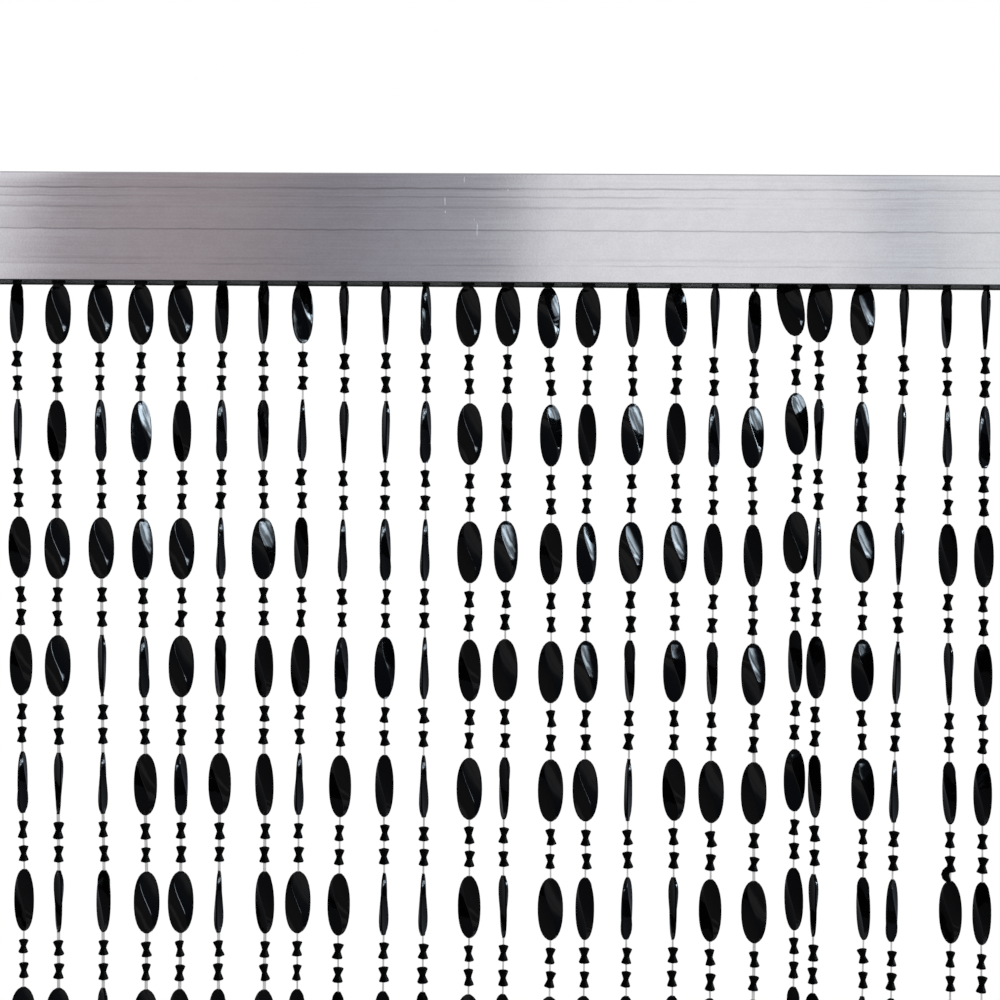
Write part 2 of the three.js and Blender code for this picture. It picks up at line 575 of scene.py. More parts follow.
    def bump(
        self, height: bpy.types.NodeSocket, strength: float, distance_mm: float,
        under: bpy.types.NodeSocket | None = None,
    ) -> bpy.types.NodeSocket:
        """Adds a bump of a real height.

        Args:
            height: the height, from 0 to 1.
            strength: how strong the bump is, from 0 to 1.
            distance_mm: the height in mm at 1.
            under: another bump that this one lies on, if any.

        Returns:
            The normal's socket.
        """
        node = self.add("ShaderNodeBump")
        node.inputs["Strength"].default_value = strength
        node.inputs["Distance"].default_value = distance_mm * MM
        self.join(height, node.inputs["Height"])
        if under is not None:
            self.join(under, node.inputs["Normal"])
        return node.outputs["Normal"]


@dataclass(frozen=True)
class DieLine:
    """A line that the extrusion die left along the rail's front.

    below_top, half_width and depth are in mm. dark is how much painted shade darkens the line's
    groove, from 0 to 1, and broken is how much of its length is faint.
    """

    below_top: float
    half_width: float
    depth: float
    dark: float
    broken: float


DIE_LINES = (
    DieLine(below_top=4.6, half_width=0.22, depth=0.02, dark=0.50, broken=0.50),
    DieLine(below_top=7.1, half_width=0.20, depth=0.02, dark=0.30, broken=0.80),
    DieLine(below_top=10.2, half_width=0.26, depth=0.02, dark=0.28, broken=0.80),
    DieLine(below_top=16.8, half_width=0.18, depth=0.02, dark=0.46, broken=0.15),
    DieLine(below_top=25.4, half_width=0.30, depth=0.02, dark=0.14, broken=0.85),
    DieLine(below_top=27.1, half_width=0.18, depth=0.02, dark=0.26, broken=0.70),
)


@dataclass(frozen=True)
class Scratch:
    """A short bright upright scratch on the rail's front, in mm.

    along is its place along X, and below_top how far its middle is below the rail's top.
    """

    along: float
    below_top: float
    length: float


SCRATCHES = (
    Scratch(along=42.2, below_top=8.4, length=2.4),
    Scratch(along=42.3, below_top=11.4, length=0.7),
    Scratch(along=47.8, below_top=2.1, length=1.7),
    Scratch(along=60.7, below_top=5.0, length=0.9),
    Scratch(along=51.7, below_top=16.6, length=3.8),
    Scratch(along=50.9, below_top=13.7, length=0.6),
)


@dataclass(frozen=True)
class SatinAluminium:
    """Mill-finish aluminium: fine lengthwise streaks, die lines darkened by painted shade, a soft
    mottle and a few scratches.

    rail_top is in metres and the other sizes in mm. Streaks are at full strength down to
    streaky_above below the top and as strong as calm says under it. Tones past contrast either way
    are the light or the dark colour.
    """

    rail_top: float
    name: str = "satin_aluminium"
    light: tuple[float, float, float] = (0.82, 0.82, 0.84)
    dark: tuple[float, float, float] = (0.76, 0.75, 0.765)
    painted_groove_shade: tuple[float, float, float] = (0.25, 0.24, 0.25)
    bare: tuple[float, float, float] = (1.0, 1.0, 1.0)
    roughness: tuple[float, float] = (0.06, 0.10)
    scratch_roughness: float = 0.6
    scratch_strength: float = 0.8
    scratch_width: float = 0.18
    streaky_above: float = 11.5
    calm: float = 0.35
    mottle: float = 0.45
    speckle: float = 0.45
    contrast: float = 0.14
    wander: float = 0.6

    def lines(self, bench: NodeBench) -> bpy.types.NodeSocket:
        """How much painted shade darkens the die lines' grooves at each height.

        Args:
            bench: the material's nodes.

        Returns:
            A value that is 0 off the lines.
        """
        _, _, z = bench.axes("Object")
        sway = bench.about_zero(bench.noise((1, 0.1, 0.1), 160.0))
        height = bench.calc("ADD", z, bench.calc("MULTIPLY", sway, self.wander * MM))
        marks = []
        for place, line in enumerate(DIE_LINES):
            away = bench.away(height, self.rail_top - line.below_top * MM)
            core, edge = line.half_width * 0.4 * MM, line.half_width * 2.0 * MM
            mark = bench.ranged(away, core, edge, line.dark, 0.0)
            gaps = bench.noise((1, 0.2, 0.2 + place), 34.0, detail=3.0)
            whole = bench.ranged(gaps, 0.38, 0.62, 1.0 - line.broken, 1.0)
            marks.append(bench.calc("MULTIPLY", mark, whole))
        return bench.gathered("ADD", marks)

    def band(self, bench: NodeBench) -> bpy.types.NodeSocket:
        """How strong the streaks are: most in the upper third of the front.

        Args:
            bench: the material's nodes.

        Returns:
            1 in the upper third, less below it.
        """
        _, _, z = bench.axes("Object")
        below = bench.calc("SUBTRACT", self.rail_top, z)
        start, end = self.streaky_above * 0.85 * MM, self.streaky_above * 1.15 * MM
        return bench.ranged(below, start, end, 1.0, self.calm)

    def scratches(self, bench: NodeBench) -> bpy.types.NodeSocket:
        """The short upright scratches.

        Args:
            bench: the material's nodes.

        Returns:
            A value that is 0 off the scratches.
        """
        x, _, z = bench.axes("Object")
        half = self.scratch_width * 0.4 * MM
        marks = []
        for scratch in SCRATCHES:
            aside = bench.away(x, scratch.along * MM)
            above = bench.away(z, self.rail_top - scratch.below_top * MM)
            core, edge = scratch.length * 0.3 * MM, scratch.length * 0.6 * MM
            narrow = bench.ranged(aside, half * 0.5, half * 1.5, self.scratch_strength, 0.0)
            marks.append(bench.calc("MULTIPLY", narrow, bench.ranged(above, core, edge, 1.0, 0.0)))
        return bench.gathered("MAXIMUM", marks)

    def material(self) -> bpy.types.Material:
        """Builds the material.

        Returns:
            The rail's outside.
        """
        bench, material, shader = NodeBench.for_material(self.name)
        streaks = bench.noise((1, 60, 60), 26.0, detail=5.0, rough=0.62)
        mottle = bench.noise((1, 1.4, 1.4), 190.0, detail=4.0, rough=0.7)
        speckle = bench.noise((1, 1, 1), 1800.0, detail=1.0)
        tone = bench.calc("MULTIPLY", bench.about_zero(streaks), self.band(bench))
        tone = bench.calc("MULTIPLY_ADD", bench.about_zero(mottle), self.mottle, tone)
        tone = bench.calc("MULTIPLY_ADD", bench.about_zero(speckle), self.speckle, tone)
        share = bench.ranged(tone, -self.contrast, self.contrast, 0.0, 1.0)
        metal = bench.blend(share, self.dark, self.light)
        # Painted shade: the die lines are real shallow grooves, and their darkness is painted into the
        # colour.
        groove_shaded = bench.blend(self.lines(bench), metal, self.painted_groove_shade, "MULTIPLY")
        scratch = self.scratches(bench)
        bench.join(bench.blend(scratch, groove_shaded, self.bare), shader.inputs["Base Color"])
        smooth = bench.ranged(streaks, 0.3, 0.7, *self.roughness)
        rough = bench.calc("MULTIPLY_ADD", scratch, self.scratch_roughness, smooth)
        bench.join(rough, shader.inputs["Roughness"])
        grain = bench.bump(bench.noise((1, 1, 1), 2600.0), strength=0.10, distance_mm=0.02)
        drawn = bench.bump(streaks, strength=0.10, distance_mm=0.03, under=grain)
        bench.join(drawn, shader.inputs["Normal"])
        shader.inputs["Metallic"].default_value = 1.0
        return material


@dataclass(frozen=True)
class RawAluminium:
    """The rail's inside: rough aluminium, greyer than the front, with a dark line of painted shade
    along the cut lip.

    rail_mouth is in metres and painted_shade_height in mm.
    """

    rail_mouth: float
    name: str = "raw_aluminium"
    pale: tuple[float, float, float] = (0.38, 0.38, 0.37)
    grey: tuple[float, float, float] = (0.20, 0.205, 0.20)
    painted_lip_shade: tuple[float, float, float] = (0.02, 0.02, 0.02)
    painted_shade_height: float = 0.40
    roughness: tuple[float, float] = (0.5, 0.65)

    def material(self) -> bpy.types.Material:
        """Builds the material.

        Returns:
            The rail's inside and cut edges.
        """
        bench, material, shader = NodeBench.for_material(self.name)
        _, _, z = bench.axes("Object")
        above = bench.calc("SUBTRACT", z, self.rail_mouth)
        start, end = self.painted_shade_height * 0.7 * MM, self.painted_shade_height * 1.5 * MM
        metal = bench.blend(bench.noise((1, 8, 8), 60.0, detail=3.0), self.grey, self.pale)
        # Painted shade: the colour turns near black just above the mouth, on the lip's bevels and the
        # foot of the walls, standing in for their shade.
        lip_shaded = bench.blend(bench.ranged(above, start, end, 1.0, 0.0), metal, self.painted_lip_shade)
        bench.join(lip_shaded, shader.inputs["Base Color"])
        rough = bench.ranged(bench.noise((1, 6, 6), 90.0), 0.3, 0.7, *self.roughness)
        bench.join(rough, shader.inputs["Roughness"])
        shader.inputs["Metallic"].default_value = 0.35
        shader.inputs["Specular IOR Level"].default_value = 0.3
        return material


@dataclass(frozen=True)
class BlackPlastic:
    """Moulded black plastic, from high gloss to satin, with the slight waviness of a moulding."""

    name: str
    colour: tuple[float, float, float]
    tint: tuple[float, float, float]
    roughness: tuple[float, float]
    wave_scale: float
    wave_height: float
    refraction: float

    def material(self) -> bpy.types.Material:
        """Builds the material.

        Returns:
            The material.
        """
        bench, material, shader = NodeBench.for_material(self.name)
        cloud = bench.noise((1, 1, 1), 70.0, detail=3.0)
        bench.join(bench.blend(cloud, self.colour, self.tint), shader.inputs["Base Color"])
        smear = bench.noise((1, 1, 1), 420.0, detail=4.0, rough=0.6)
        bench.join(bench.ranged(smear, 0.35, 0.7, *self.roughness), shader.inputs["Roughness"])
        wave = bench.noise((1, 1, 0.7), self.wave_scale, detail=1.5)
        bench.join(bench.bump(wave, 1.0, self.wave_height), shader.inputs["Normal"])
        shader.inputs["IOR"].default_value = self.refraction
        return material


@dataclass(frozen=True)
class ClearNylon:
    """Clear nylon string: pale and see-through, a little uneven along its length."""

    name: str = "clear_nylon"
    pale: tuple[float, float, float] = (0.50, 0.50, 0.50)
    shade: tuple[float, float, float] = (0.38, 0.38, 0.39)

    def material(self) -> bpy.types.Material:
        """Builds the material.

        Returns:
            The material.
        """
        bench, material, shader = NodeBench.for_material(self.name)
        twist = bench.noise((1, 1, 0.35), 900.0, detail=2.0)
        tone = bench.blend(bench.ranged(twist, 0.35, 0.65, 0.0, 1.0), self.shade, self.pale)
        bench.join(tone, shader.inputs["Base Color"])
        bench.join(bench.ranged(twist, 0.3, 0.7, 0.2, 0.4), shader.inputs["Roughness"])
        shader.inputs["Transmission Weight"].default_value = 1.0
        shader.inputs["IOR"].default_value = 1.02
        return material


@dataclass(frozen=True)
class PaleFloor:
    """The studio's plain pale floor."""

    name: str = "pale_floor"
    tone: float = 0.82
    cloud: float = 0.98
    roughness: float = 0.9

    def material(self) -> bpy.types.Material:
        """Builds the material.

        Returns:
            The material.
        """
        bench, material, shader = NodeBench.for_material(self.name)
        low, high = (self.tone * self.cloud,) * 3, (self.tone,) * 3
        bench.join(bench.blend(bench.noise((1, 1, 1), 1.5), low, high), shader.inputs["Base Color"])
        shader.inputs["Roughness"].default_value = self.roughness
        return material


@dataclass(frozen=True)
class Finishes:
    """The finishes of the whole curtain, made once each."""

    rail: bpy.types.Material
    rail_inside: bpy.types.Material
    bead: bpy.types.Material
    spacer: bpy.types.Material
    string: bpy.types.Material
    carrier: bpy.types.Material

    @classmethod
    def make(cls, rail_top: float, rail_mouth: float) -> "Finishes":
        """Makes all the materials.

        Args:
            rail_top: the height of the rail's top face, in metres.
            rail_mouth: the height of the rail's open underside, in metres.

        Returns:
            The finishes.
        """
        bead = BlackPlastic(
            name="black_gloss_bead", colour=(0.0004, 0.0004, 0.0005), tint=(0.0010, 0.0010, 0.0012),
            roughness=(0.04, 0.10), wave_scale=260.0, wave_height=0.05, refraction=1.26,
        )
        spacer = BlackPlastic(
            name="black_spacer", colour=(0.0003, 0.0003, 0.0003), tint=(0.0008, 0.0008, 0.0008),
            roughness=(0.38, 0.50), wave_scale=700.0, wave_height=0.04, refraction=1.08,
        )
        carrier = BlackPlastic(
            name="black_carrier", colour=(0.0008, 0.0008, 0.0008), tint=(0.0016, 0.0016, 0.0016),
            roughness=(0.45, 0.60), wave_scale=500.0, wave_height=0.02, refraction=1.15,
        )
        return cls(
            rail=SatinAluminium(rail_top).material(),
            rail_inside=RawAluminium(rail_mouth).material(),
            bead=bead.material(),
            spacer=spacer.material(),
            string=ClearNylon().material(),
            carrier=carrier.material(),
        )


@dataclass
class Rail:
    """The aluminium rail: an upside-down U, open below, with ledges inside, drawn out along X."""

    low: Vector
    high: Vector
    wall: float = 1.2
    ledge_reach: float = 1.7
    ledge_thick: float = 1.4
    ledge_above_mouth: float = 6.0
    corner: float = 0.45
    lip: float = 0.2
    corner_steps: int = 3

    def rounded(self, y: float, z: float, start: float) -> list[tuple[float, float]]:
        """Points round a quarter turn of an outside corner.

        Args:
            y: the middle of the corner's circle, in mm.
            z: its height.
            start: the angle at which it starts, in degrees from +Y, going counter-clockwise.

        Returns:
            Points in Y and Z.
        """
        turns = [start + 90.0 * step / self.corner_steps for step in range(self.corner_steps + 1)]
        return [
            (y + self.corner * math.cos(turn), z + self.corner * math.sin(turn))
            for turn in map(math.radians, turns)
        ]

    def front(self, face: float, top: float) -> list[tuple[float, float]]:
        """The front face from the top down, with a shallow groove at each die line.

        Args:
            face: the face's Y, in mm.
            top: the rail's top.

        Returns:
            Points in Y and Z.
        """
        points = []
        for line in DIE_LINES:
            z = top - line.below_top
            points += [
                (face, z + line.half_width),
                (face + line.depth, z),
                (face, z - line.half_width),
            ]
        return points

    def section(self) -> list[tuple[float, float]]:
        """The rail's outline.

        Returns:
            Points in Y and Z, in mm, counter-clockwise seen from +X.
        """
        back, front = self.high.y / MM, self.low.y / MM
        top, mouth = self.high.z / MM, self.low.z / MM
        roof, ledge_top = top - self.wall, mouth + self.ledge_above_mouth
        ledge_under = ledge_top - self.ledge_thick
        inner_back, inner_front = back - self.wall, front + self.wall
        ledge_back, ledge_front = inner_back - self.ledge_reach, inner_front + self.ledge_reach
        round_z, lip = top - self.corner, self.lip
        return [
            (back, mouth + lip),
            *self.rounded(back - self.corner, round_z, 0.0),
            *self.rounded(front + self.corner, round_z, 90.0),
            *self.front(front, top),
            (front, mouth + lip), (front + lip, mouth),
            (inner_front - lip, mouth), (inner_front, mouth + lip),
            (inner_front, ledge_under), (ledge_front, ledge_under),
            (ledge_front, ledge_top), (inner_front, ledge_top),
            (inner_front, roof), (inner_back, roof),
            (inner_back, ledge_top), (ledge_back, ledge_top),
            (ledge_back, ledge_under), (inner_back, ledge_under),
            (inner_back, mouth + lip), (inner_back + lip, mouth),
            (back - lip, mouth),
        ]

    def is_raw(self, start: tuple[float, float], end: tuple[float, float]) -> bool:
        """Whether a side of the outline is raw: inside the rail, on its back or round its mouth.

        Args:
            start: the side's first point, in Y and Z.
            end: its second point.

        Returns:
            True for a raw side.
        """
        near = 0.01
        inner = [self.low.y / MM + self.wall - near, self.high.y / MM - self.wall + near]
        edge = self.low.z / MM + self.lip + near
        back = self.high.y / MM - near
        return (
            all(inner[0] <= y <= inner[1] for y, _ in (start, end))
            or all(z <= edge for _, z in (start, end))
            or all(y >= back for y, _ in (start, end))
        )

    def build(self, finishes: Finishes) -> bpy.types.Object:
        """Builds the rail and dresses it.

        Args:
            finishes: the curtain's materials.

        Returns:
            The rail.
        """
        outline = self.section()
        count = len(outline)
        points = [(x, y * MM, z * MM) for x in (self.low.x, self.high.x) for y, z in outline]
        sides = [(i, (i + 1) % count, (i + 1) % count + count, i + count) for i in range(count)]
        faces = [tuple(reversed(range(count))), tuple(range(count, 2 * count)), *sides]
        mesh = bpy.data.meshes.new("rail_extrusion")
        mesh.from_pydata(points, [], faces)
        mesh.update()
        rail = linked_object("rail_extrusion", mesh, Side.CRISP)
        fit_piece(rail, finishes.rail, "rail")
        mesh.materials.append(finishes.rail_inside)
        raw = [self.is_raw(outline[i], outline[(i + 1) % count]) for i in range(count)]
        mesh.polygons.foreach_set("material_index", np.array([0, 0, *raw], dtype=np.int32))
        return rail


@dataclass
class HangPlan:
    """Where every bead hangs. The arrays have a row for each strand and a column for each bead row.

    Strands are numbered along the whole rail, and place counts them from the left end of a carrier.
    rail_mouth and under_carrier are heights and half_length is half an oval bead's length, in mm.
    The jitters are in degrees, and so are clear_turns, the least and the most turn of the beads
    beside a joint between carriers.
    """

    rail_mouth: float
    middle_y: float
    under_carrier: float
    half_length: float
    carrier_pitch: float = 299.6
    strand_pitch: float = 12.15
    row_pitch: float = 35.0
    rows: int = 56
    charted_rows: int = 7
    last_row: int = 6
    plumb_again_row: int = 14
    first_row_below_mouth: float = 8.8
    close_first: int = 30
    close_last: int = 54
    sway: float = 0.25
    turn_jitter: float = 2.5
    lean_jitter: float = 0.8
    clear_turns: tuple[float, float] = (52.0, 82.8)
    seen_from_x: float = 76.0
    seen_from_away: float = 600.0
    x: np.ndarray = field(init=False)
    y: np.ndarray = field(init=False)
    z: np.ndarray = field(init=False)
    turn: np.ndarray = field(init=False)
    lean: np.ndarray = field(init=False)
    root_x: np.ndarray = field(init=False)

    def __post_init__(self) -> None:
        """Works out the places once."""
        draw = np.random.default_rng(SEED)
        strands = len(CARRIER_NODES) * len(HANGS)
        self.root_x = np.array([self.root_of(number) for number in range(strands)])
        shape = (strands, self.rows)
        hangs = [HANGS[number % len(HANGS)] for number in range(strands)]
        rows = np.arange(1, self.rows + 1)
        self.x = self.root_x[:, None] + np.array([self.sideways(hang, rows) for hang in hangs])
        raised = np.array([hang.raised for hang in hangs])
        first = self.rail_mouth - self.first_row_below_mouth
        self.z = first + raised[:, None] - (rows - 1)[None, :] * self.row_pitch
        self.z[:, 0] -= [hang.drop for hang in hangs]
        self.y = self.middle_y + draw.uniform(-self.sway, self.sway, shape)
        self.turn = draw.uniform(-0.5 * math.pi, 0.5 * math.pi, shape)
        seen = np.array([[Facing.of(letter).radians for letter in hang.turns] for hang in HANGS])
        turned = seen - self.bearings()[:, None]
        self.turn[:, : self.charted_rows] = np.tile(turned, (len(CARRIER_NODES), 1))
        self.keep_neighbours_clear()
        self.turn += np.radians(draw.uniform(-self.turn_jitter, self.turn_jitter, shape))
        jitter = draw.uniform(-self.lean_jitter, self.lean_jitter, shape)
        self.lean = self.lean_along_string() + np.radians(jitter)
        self.lean[:, 0] += [math.radians(hang.lean) for hang in hangs]

    def carrier_middle(self, carrier: int) -> float:
        """The X of a carrier's middle, in mm."""
        return (carrier - (len(CARRIER_NODES) - 1) / 2) * self.carrier_pitch

    def strands_of(self, carrier: int) -> slice:
        """The strands that hang from one carrier."""
        return slice(carrier * len(HANGS), (carrier + 1) * len(HANGS))

    def root_of(self, number: int) -> float:
        """The X of a strand's hole in its carrier, in mm."""
        carrier, place = divmod(number, len(HANGS))
        return self.carrier_middle(carrier) + (place - (len(HANGS) - 1) / 2) * self.strand_pitch

    def bearings(self) -> np.ndarray:
        """How far right of straight on the photograph sees each strand of the chart.

        Returns:
            An angle in radians for each strand of the chart.
        """
        places = np.arange(len(HANGS))
        carrier = np.where(places + len(HANGS) < self.close_first, 2, 1)
        seen_x = self.root_x[places + carrier * len(HANGS)]
        return np.arctan2(seen_x - self.seen_from_x, self.seen_from_away)

    def sideways(self, hang: Hang, rows: np.ndarray) -> np.ndarray:
        """How far a strand hangs beside the plumb line under its hole, at each bead row."""
        knots = (1, 2, self.last_row, self.last_row + 1, self.plumb_again_row)
        return np.interp(rows, knots, (hang.first, hang.second, hang.last, hang.last, 0.0))

    def keep_neighbours_clear(self) -> None:
        """Turns the beads on both sides of each joint between carriers, where strands are close."""
        least, most = np.radians(self.clear_turns)
        for place in (0, len(HANGS) - 1):
            turns = self.turn[place :: len(HANGS), self.charted_rows :]
            share = np.abs(turns) / (0.5 * math.pi)
            turns[:] = np.sign(turns) * (least + share * (most - least))

    def lean_along_string(self) -> np.ndarray:
        """How far each bead leans, from the beads above and below it on its string.

        Returns:
            An angle in radians for each bead.
        """
        above = np.concatenate([self.root_x[:, None], self.x[:, :-1]], axis=1)
        below = np.concatenate([self.x[:, 1:], self.x[:, -1:]], axis=1)
        return np.arctan2(above - below, 2 * self.row_pitch)

    def close_up(self) -> np.ndarray:
        """Picks the beads that the photograph's view takes in.

        Returns:
            True for each of these beads.
        """
        chosen = np.zeros(self.x.shape, dtype=bool)
        chosen[self.close_first : self.close_last + 1, : self.charted_rows] = True
        return chosen

    def of_carrier(self, carrier: int) -> np.ndarray:
        """Picks the beads that hang from one carrier.

        Args:
            carrier: the carrier's number.

        Returns:
            True for each of these beads.
        """
        chosen = np.zeros(self.x.shape, dtype=bool)
        chosen[self.strands_of(carrier)] = True
        return chosen

    def places(self) -> np.ndarray:
        """The middle of every oval bead, in mm."""
        return np.stack([self.x, self.y, self.z], axis=-1)

    def ends(self) -> tuple[np.ndarray, np.ndarray]:
        """The ends of every oval bead.

        Returns:
            The upper ends and the lower ends, in mm.
        """
        axes = np.stack([np.sin(self.lean), np.zeros_like(self.lean), np.cos(self.lean)], axis=-1)
        reach = axes * self.half_length
        return self.places() + reach, self.places() - reach

@dataclass
class OvalBead:
    """The oval twist bead: a flat oval with a ridge down each side that sweeps from edge to edge.

    On the fine beads the rim, where the halves of the mould met, is satin, and the rest is glossy.
    Sizes are in mm.
    rim_share, tip_thick and rim_bow are shares of the thickness, the tip and the rim, and dish is
    how hollow the broad facets are.
    """

    half_length: float = 9.15
    half_width: float = 3.80
    half_thick: float = 1.20
    rim_half_thick: float = 0.24
    rim_share: float = 0.8
    rim_bow: float = 0.35
    rim_round: float = 0.24
    fullness: float = 2.22
    ridge_sweep: float = 1.10
    ridge_reach: float = 1.0
    crest_half_width: float = 0.12
    crest_drop: float = 0.07
    tip: float = 0.62
    tip_thick: float = 0.9
    dish: float = 0.0055
    fine_levels: int = 17
    fine_steps: tuple[float, ...] = (0.0, 0.06, 0.35, 0.65, 0.94)
    plain_levels: int = 8

    def half_width_at(self, z: np.ndarray) -> np.ndarray:
        """Half the width at heights z, a full oval with blunt ends."""
        share = np.maximum(1 - np.abs(z / self.half_length) ** self.fullness, 0)
        return np.maximum(self.half_width * share ** (1 / self.fullness), self.tip)

    def half_thick_at(self, z: np.ndarray) -> np.ndarray:
        """Half the thickness at the ridge at heights z."""
        thin = np.sqrt(np.maximum(1 - np.abs(z / self.half_length) ** 3, 0))
        return np.maximum(self.half_thick * thin, self.tip * self.tip_thick)

    def ridge_at(self, z: np.ndarray) -> np.ndarray:
        """Where the front ridge runs: from the left rim on top to the right rim below.

        Args:
            z: heights from the middle.

        Returns:
            How far the ridge is to +X at each height.
        """
        along = z / self.half_length
        straight = (self.ridge_reach - math.sin(self.ridge_sweep)) * along**5
        share = np.sin(self.ridge_sweep * along) + straight
        return -share * (self.half_width_at(z) - self.rim_round)

    def corners(self, z: np.ndarray, rounded: bool) -> list[tuple[np.ndarray, Facet]]:
        """The corners of the section at heights z, counter-clockwise from the right rim.

        Args:
            z: heights from the middle.
            rounded: whether the rims have two more corners each and the ridges a raised crest.

        Returns:
            X and Y of each corner, and what starts there.
        """
        wide, thick, ridge = self.half_width_at(z), self.half_thick_at(z), self.ridge_at(z)
        rim = np.minimum(self.rim_half_thick, thick * self.rim_share)
        shoulder = wide - (self.rim_round if rounded else 0.0) * wide / self.half_width
        crest = [(-ridge, thick, Facet.LEAF)]
        bow = []
        if rounded:
            side = self.crest_half_width * wide / self.half_width
            side = np.minimum(side, shoulder - np.abs(ridge))
            flank = thick - self.crest_drop * wide / self.half_width
            crest = [
                (-ridge + side, flank, Facet.CREST),
                (-ridge, thick, Facet.CREST),
                (-ridge - side, flank, Facet.LEAF),
            ]
            bow = [(-wide, rim * share, Facet.RIM) for share in (self.rim_bow, -self.rim_bow)]
        sides = [(shoulder, rim, Facet.LEAF), *crest, (-shoulder, rim, Facet.RIM), *bow]
        half = [(np.stack([x, y], axis=-1), facet) for x, y, facet in sides]
        return half + [(-corner, facet) for corner, facet in half]

    def pattern(self, levels: int, steps: Sequence[float]) -> Pattern:
        """Builds the bead.

        Args:
            levels: how many rings it has from end to end.
            steps: places along each broad facet, from 0 at its first corner to under 1.

        Returns:
            The bead's mesh about its middle.
        """
        z = self.half_length * np.sin(np.linspace(0.5 * math.pi, -0.5 * math.pi, levels))
        corners = self.corners(z, rounded=len(steps) > 1)
        columns = []
        for place, (corner, facet) in enumerate(corners):
            along = corners[(place + 1) % len(corners)][0] - corner
            length = np.linalg.norm(along, axis=-1, keepdims=True)
            inward = np.stack([-along[:, 1], along[:, 0]], axis=-1) / np.maximum(length, 1e-9)
            for step in steps if facet is Facet.LEAF else steps[:1]:
                sag = 4 * self.dish * length**2 * step * (1 - step)
                columns.append(corner + along * step + inward * sag)
        ring = np.stack(columns, axis=1)
        heights = np.broadcast_to(z[:, None, None], (*ring.shape[:2], 1))
        return skin_rings(np.concatenate([ring, heights], axis=-1))

    def is_rim(self) -> np.ndarray:
        """Which triangles of the fine bead's pattern are its rim.

        Returns:
            True or false for each triangle, in the pattern's order.
        """
        around = []
        for _, facet in self.corners(np.zeros(1), rounded=True):
            around += [facet is Facet.RIM] * (len(self.fine_steps) if facet is Facet.LEAF else 1)
        sides = np.tile(around, 2 * (self.fine_levels - 1))
        return np.concatenate([sides, np.zeros(2 * (len(around) - 2), dtype=bool)])

    def copies(self, plan: HangPlan) -> Copies:
        """Where all the oval beads go, strand by strand."""
        turns, leans = plan.turn.ravel(), plan.lean.ravel()
        return Copies(turning(turns, leans, 0 * turns), plan.places().reshape(-1, 3))

    def build(self, plan: HangPlan, finishes: Finishes) -> None:
        """Builds all the oval beads: fine ones in the photograph's view and plainer ones elsewhere.

        Args:
            plan: where the beads hang.
            finishes: the curtain's materials.
        """
        copies, close = self.copies(plan), plan.close_up()
        fine = self.pattern(self.fine_levels, self.fine_steps)
        fine = multiplied(fine, copies.only(close.ravel()))
        piece = mesh_object("ovals_close", fine, Side.CRISP)
        fit_piece(piece, finishes.bead)
        piece.data.materials.append(finishes.spacer)
        satin = np.tile(self.is_rim(), int(close.sum()))
        piece.data.polygons.foreach_set("material_index", satin.astype(np.int32))
        plain = self.pattern(self.plain_levels, steps=(0.0,))
        for carrier, node in enumerate(CARRIER_NODES):
            chosen = copies.only((plan.of_carrier(carrier) & ~close).ravel())
            name = node.replace("strands", "ovals")
            piece = mesh_object(name, multiplied(plain, chosen), Side.CRISP)
            fit_piece(piece, finishes.bead, node)


